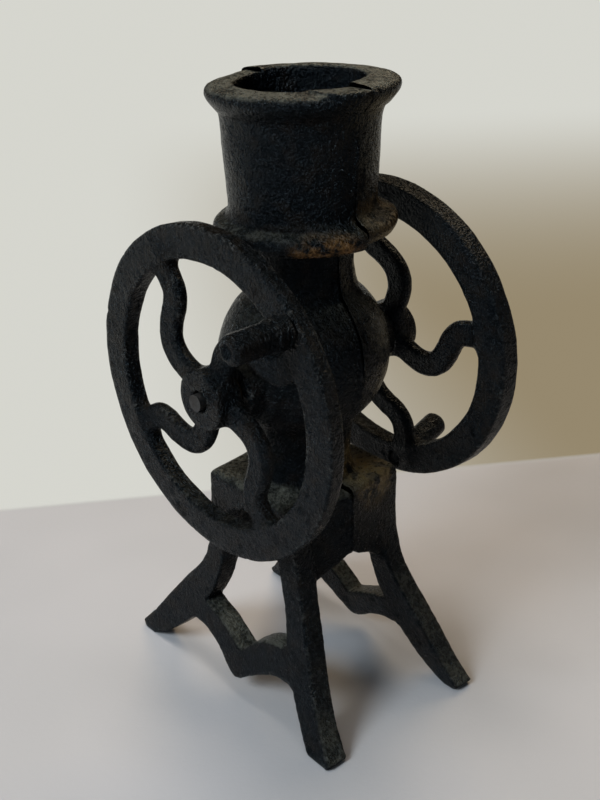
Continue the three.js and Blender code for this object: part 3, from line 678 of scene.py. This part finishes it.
def cast_iron(name, rust=0.35, dust=0.6, patches=(), dense=True):
    """Old black sand-cast iron: pebbly grain, dust settled on top, rust film, worn edges that also
    carry a painted highlight line, and pale flecks that are partly dust specks and partly painted
    glints.
    """
    s = Shader(name)
    pos = s.add("ShaderNodeTexCoord").outputs["Object"]
    # each noise: size of its largest feature in mm, octaves, roughness
    broad = s.noise(pos, 9.0, 3)
    patch = s.noise(pos, 3.2, 4, 0.6)
    grain = s.noise(pos, 0.8, 3, 0.6)
    speck = s.noise(pos, 0.40, 2, 0.5)
    pebble = s.add("ShaderNodeTexVoronoi", {"feature": "SMOOTH_F1"}, Vector=pos,
                   Scale=1 / (1.0 * MM), Smoothness=0.5).outputs["Distance"]
    colour = s.mix(s.span(grain, 0.35, 0.7), BLACK, SHEEN)
    film = s.math("MULTIPLY", s.span(patch, 0.47, 0.66), rust, True)
    colour = s.mix(film, colour, RUST_FILM)
    up = s.attribute("up") if dense else s.add("ShaderNodeSeparateXYZ", Vector=s.add(
        "ShaderNodeNewGeometry").outputs["Normal"]).outputs[2]
    settled = s.math("MULTIPLY", s.span(up, 0.25, 0.95), s.span(patch, 0.32, 0.60, 0.3, 1.0))
    settled = s.math("MULTIPLY", settled, s.span(grain, 0.38, 0.62, 0.45, 1.0))
    settled = s.math("MULTIPLY", settled, dust, True)
    if dense:           # the dust lies on the lip and on the block, less of it between
        height_mm = s.add("ShaderNodeSeparateXYZ", Vector=pos).outputs[2]
        shelf = s.math("MAXIMUM", s.span(height_mm, 0.107, 0.110),
                       s.span(height_mm, 0.048, 0.044))
        share = s.math("ADD", s.math("MULTIPLY", shelf, 1 - SHELF_DUST), SHELF_DUST)
        settled = s.math("MULTIPLY", settled, share)
    colour = s.mix(settled, colour, DUST)
    for centre, reach, tint, force in patches:
        spot = s.math("MULTIPLY", near(s, pos, centre, reach), s.span(patch, 0.36, 0.56))
        spot = s.math("MULTIPLY", spot, s.span(grain, 0.36, 0.60, 0.5, 1.0))
        colour = s.mix(s.math("MULTIPLY", spot, force, True), colour, tint)
    rough = s.math("ADD", s.span(grain, 0.3, 0.7, 0.10, 0.30), s.math("MULTIPLY", settled, 0.3))
    metallic = 0.0
    if dense:
        # sharp edges get a paler colour: partly rubbed wear, partly a painted highlight line where
        # the edges catch the light
        edge = s.span(s.attribute("edge_sharpness"), 0.45, 1.1)
        edge = s.math("MULTIPLY", edge, s.span(broad, 0.42, 0.62, 0.1, 1.0))
        edge = s.math("MULTIPLY", edge, s.span(grain, 0.47, 0.62))
        edge = s.math("MULTIPLY", edge, 0.55, True)
        colour = s.mix(edge, colour, EDGE_WEAR_AND_HIGHLIGHT)
        metallic = s.math("MULTIPLY", edge, 0.4, True)
    # pale flecks in the grain: partly dust specks, partly painted glints
    flecks_and_glints = s.math("MULTIPLY", s.span(speck, 0.735, 0.78), s.span(broad, 0.42, 0.56))
    colour = s.mix(s.math("MULTIPLY", flecks_and_glints, 0.7, True), colour, FLECK_AND_GLINT)
    height = s.math("ADD", s.math("MULTIPLY", grain, 0.6), s.math("MULTIPLY", speck, 0.95))
    height = s.math("ADD", height, s.math("MULTIPLY", patch, 0.25))
    height = s.math("SUBTRACT", height, s.math("MULTIPLY", pebble, 0.45))
    return s.finish(colour, s.math("ADD", rough, 0.0, True), metallic, height, IRON_BUMP,
                    Specular_IOR_Level=0.09, Specular_Tint=(0.74, 0.90, 1.0, 1.0))


def turned_metal(name, pale, dark, rough):
    """Bare turned metal with fine scratches and tarnish."""
    s = Shader(name)
    pos = s.add("ShaderNodeTexCoord").outputs["Object"]
    tarnish = s.noise(pos, 1.6, 4, 0.6)
    fine = s.noise(pos, 0.25, 3, 0.6)
    colour = s.mix(s.span(tarnish, 0.38, 0.64), pale, dark)
    colour = s.mix(s.span(fine, 0.55, 0.72, 0.0, 0.5), colour, (0.05, 0.028, 0.014))
    return s.finish(colour, s.span(tarnish, 0.3, 0.7, rough, rough + 0.25),
                    s.span(tarnish, 0.4, 0.7, 0.9, 0.45), fine, 0.06)


# ------------------------------------------------------------------ build
castings = [build_casting(side) for side in (-1, 1)]
wheels = [build_wheel(side) for side in (-1, 1)]
pegs = [build_peg(side) for side in (-1, 1)]

orange, tan, pale_tan = (0.15, 0.075, 0.025), (0.12, 0.080, 0.036), (0.19, 0.13, 0.052)
# rust that shows: place and reach in mm, colour, strength
iron_patches = [((-8.8, -13.0, 86.6), 5.4, orange, 1.0), ((-4.8, -14.8, 87.0), 5.0, orange, 1.0),
                ((7.5, -13, 89.6), 10, tan, 0.8), ((7, -9.5, 43.8), 9, pale_tan, 1.0)]
iron_frame = cast_iron("cast_iron_frame", 0.30, 0.95, iron_patches)
iron_wheel = cast_iron("cast_iron_wheel", 0.35, 0.12)
iron_plain = cast_iron("cast_iron_plain", 0.5, 0.3, dense=False)
steel = turned_metal("worn_steel", (0.055, 0.055, 0.055), (0.020, 0.016, 0.012), 0.36)
bronze = turned_metal("aged_bronze", (0.32, 0.19, 0.08), (0.12, 0.075, 0.035), 0.35)

for piece in castings:
    piece.data.materials.append(iron_frame)
for piece in wheels + pegs:
    piece.data.materials.append(iron_wheel)
slots = {row["node"]: row["material_slot"] for row in frame["record"]["subparts"]}
finish_of = {"black_iron": iron_plain, "steel": steel, "bronze": bronze}
for name, node in frame["nodes"].items():
    node.data.materials.clear()
    node.data.materials.append(finish_of[slots[name]])

# ------------------------------------------------------------------ floor
WALL_POINT, WALL_ANGLE = (-19.4, 92.5), -30.17      # a point of the wall's foot; its turn
PALE = (0.50, 0.49, 0.47)           # far floor and backdrop, where there is no wall
FLOOR_LIGHT, FLOOR_DARK = (0.490, 0.465, 0.462), (0.45, 0.43, 0.425)
WALL_LIT, WALL_SHADED = (0.67, 0.67, 0.62), (0.30, 0.245, 0.155)
FLOOR = 2.2                         # half size of the floor, m


def floor_material():
    """Pale floor; beyond the line of the wall behind it takes the wall's tone."""
    s = Shader("pale_floor")
    pos = s.add("ShaderNodeTexCoord").outputs["Object"]
    xyz = s.add("ShaderNodeSeparateXYZ", Vector=pos)
    x, y = xyz.outputs[0], xyz.outputs[1]
    a = rad(WALL_ANGLE)

    def along(cx, cy):
        """Distance from the wall point in the direction (cx, cy)."""
        base = s.math("MULTIPLY", s.math("SUBTRACT", x, WALL_POINT[0] * MM), cx)
        return s.math("ADD", base,
                      s.math("MULTIPLY", s.math("SUBTRACT", y, WALL_POINT[1] * MM), cy))
    across = along(-math.sin(a), math.cos(a))
    run = along(math.cos(a), math.sin(a))
    cloud = s.noise(pos, 60.0, 2)
    floor = s.mix(s.span(cloud, 0.3, 0.7), FLOOR_LIGHT, FLOOR_DARK)
    shade = s.math("MULTIPLY", s.span(run, 0.03, 0.16), s.span(across, 0.55, 0.10))
    wall = s.mix(shade, WALL_LIT, WALL_SHADED)
    beyond = s.span(across, -0.001, 0.002)
    s.finish(floor, s.span(cloud, 0.3, 0.7, 0.62, 0.72), 0.0, s.noise(pos, 1.2, 3), 0.03)
    surface, out = [n for n in s.tree.nodes if n.type in ("BSDF_PRINCIPLED", "OUTPUT_MATERIAL")]
    far = s.span(s.add("ShaderNodeVectorMath", {"operation": "LENGTH"},
                       i0=pos).outputs["Value"], 0.20, 0.55)
    glow = s.add("ShaderNodeEmission", Color=s.mix(beyond, PALE, wall), Strength=1.0)
    both = s.add("ShaderNodeMixShader", i0=s.math("MAXIMUM", beyond, far),
                 i1=surface.outputs[0], i2=glow.outputs[0])
    s.tree.links.new(both.outputs[0], out.inputs[0])
    return s.material


corners = [(-FLOOR, -FLOOR, 0), (FLOOR, -FLOOR, 0), (FLOOR, FLOOR, 0), (-FLOOR, FLOOR, 0)]
floor_mesh = bpy.data.meshes.new("floor")
floor_mesh.from_pydata(corners, [], [(0, 1, 2, 3)])
floor = bpy.data.objects.new("floor", floor_mesh)
floor.data.materials.append(floor_material())
scene.collection.objects.link(floor)

# ------------------------------------------------------------------ camera
AZIMUTH, ELEVATION, ROLL = -40.94, 24.3, -0.18
DISTANCE, SHIFT_X, AIM_Z, LENS = 195.88, -0.66, 56.08, 49.1
az, el, ro = rad(AZIMUTH), rad(ELEVATION), rad(ROLL)
back = Vector((math.sin(az) * math.cos(el), -math.cos(az) * math.cos(el), math.sin(el)))
right = Vector((math.cos(az), math.sin(az), 0))
upward = back.cross(right)
cam_x = right * math.cos(ro) + upward * math.sin(ro)
cam_y = upward * math.cos(ro) - right * math.sin(ro)
place = (Vector((0, 0, AIM_Z)) + right * SHIFT_X + back * DISTANCE) * MM
camera = bpy.data.objects.new("camera", bpy.data.cameras.new("camera"))
camera.data.lens = LENS
camera.data.sensor_width = 36
camera.data.clip_start, camera.data.clip_end = 0.01, 20
camera.matrix_world = Matrix((
    (cam_x.x, cam_y.x, back.x, place.x), (cam_x.y, cam_y.y, back.y, place.y),
    (cam_x.z, cam_y.z, back.z, place.z), (0, 0, 0, 1)))
scene.collection.objects.link(camera)
scene.camera = camera


# ------------------------------------------------------------------ light
def area(name, place, aim, size, power, colour):
    """A round lamp of a size in metres and a power in watts."""
    data = bpy.data.lights.new(name, "AREA")
    data.shape, data.size, data.energy, data.color = "DISK", size, power, colour
    lamp = bpy.data.objects.new(name, data)
    lamp.location = place
    lamp.rotation_euler = (Vector(aim) - Vector(place)).to_track_quat("-Z", "Y").to_euler()
    scene.collection.objects.link(lamp)
    return lamp


area("key", (-0.58, -0.02, 0.52), (0, 0, 0.05), 0.30, 4.3, (0.78, 0.90, 1.0))
glint = area("glint", (-0.66, 0.0, 0.36), (0, 0, 0.07), 0.07, 2.6, (0.88, 0.95, 1.0))
glint.visible_diffuse = False       # it draws highlights and casts no shadow on the floor
area("top", (0.00, 0.12, 0.8), (0, 0, 0.05), 0.35, 3.0, (1.0, 0.97, 0.92))
area("warm_back", (0.45, 0.30, 0.55), (0, 0, 0.03), 0.35, 1.8, (1.0, 0.80, 0.54))
world = bpy.data.worlds.new("studio")
world.use_nodes = True
tree = world.node_tree
sky = tree.nodes.new("ShaderNodeTexCoord")
split = tree.nodes.new("ShaderNodeSeparateXYZ")
ramp = tree.nodes.new("ShaderNodeMapRange")
ramp.interpolation_type = "SMOOTHSTEP"
blend = tree.nodes.new("ShaderNodeMix")
blend.data_type = "RGBA"
tree.links.new(sky.outputs["Generated"], split.inputs[0])
tree.links.new(split.outputs[0], ramp.inputs[0])
ramp.inputs[1].default_value, ramp.inputs[2].default_value = -0.95, 0.0
tree.links.new(ramp.outputs[0], blend.inputs[0])
blend.inputs[6].default_value = (0.9, 1.2, 1.5, 1)          # the window side
blend.inputs[7].default_value = (0.12, 0.085, 0.05, 1)      # the dim side of the room
room, plain = tree.nodes["Background"], tree.nodes.new("ShaderNodeBackground")
tree.links.new(blend.outputs[2], room.inputs[0])
room.inputs[1].default_value = 0.28
plain.inputs[0].default_value = (*PALE, 1)
path, both = tree.nodes.new("ShaderNodeLightPath"), tree.nodes.new("ShaderNodeMixShader")
tree.links.new(path.outputs["Is Camera Ray"], both.inputs[0])
tree.links.new(room.outputs[0], both.inputs[1])
tree.links.new(plain.outputs[0], both.inputs[2])
tree.links.new(both.outputs[0], tree.nodes["World Output"].inputs[0])
scene.world = world
scene.view_settings.view_transform = "Standard"
